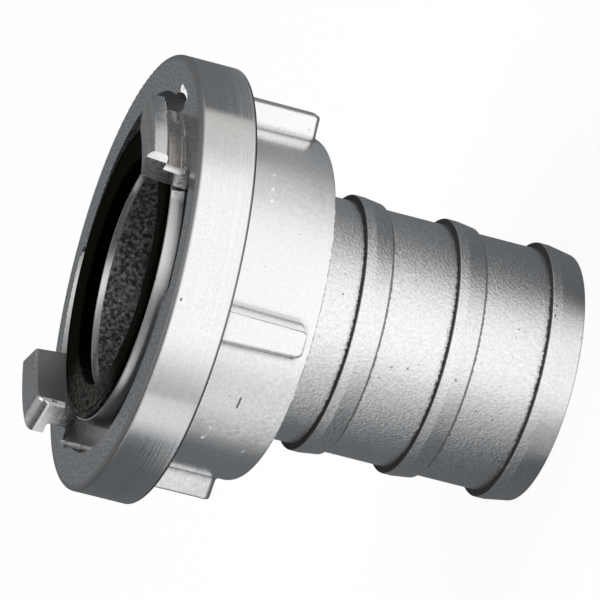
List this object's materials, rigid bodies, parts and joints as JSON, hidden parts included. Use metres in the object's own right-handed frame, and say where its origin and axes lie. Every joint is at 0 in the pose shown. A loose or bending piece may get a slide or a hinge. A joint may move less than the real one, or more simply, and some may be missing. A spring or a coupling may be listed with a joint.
{
  "type": "quarter turn fire hose coupling",
  "caption": "Cast aluminium hose coupling with outward hooked lugs on a turning head, a banded hose tail and a rubber face seal.",
  "frame": {"origin": "centre of the hose tail's end, on the axis of the coupling", "axes": "+Z along the axis from the hose tail towards the hooked lugs, and +X through the middle of one lug"},
  "size_m": [0.127, 0.127, 0.1381],
  "materials": {
    "machined_casting": "turned outside and as cast on the barrel",
    "blasted_casting": "as cast and blasted",
    "black_rubber": "moulded, satin",
    "spring_steel": "drawn wire, plain"
  },
  "bodies": {
    "tail": {"hose_tail": "blasted_casting", "seal_ring": "black_rubber"},
    "head": {"lug_ring": "machined_casting", "retaining_ring": "spring_steel"}
  },
  "joints": [
    {"name": "head_swivel", "type": "hinge", "parent": "tail", "child": "head", "pos_m": [0, 0, 0.09], "axis": [0, 0, 1], "continuous": true}
  ]
}
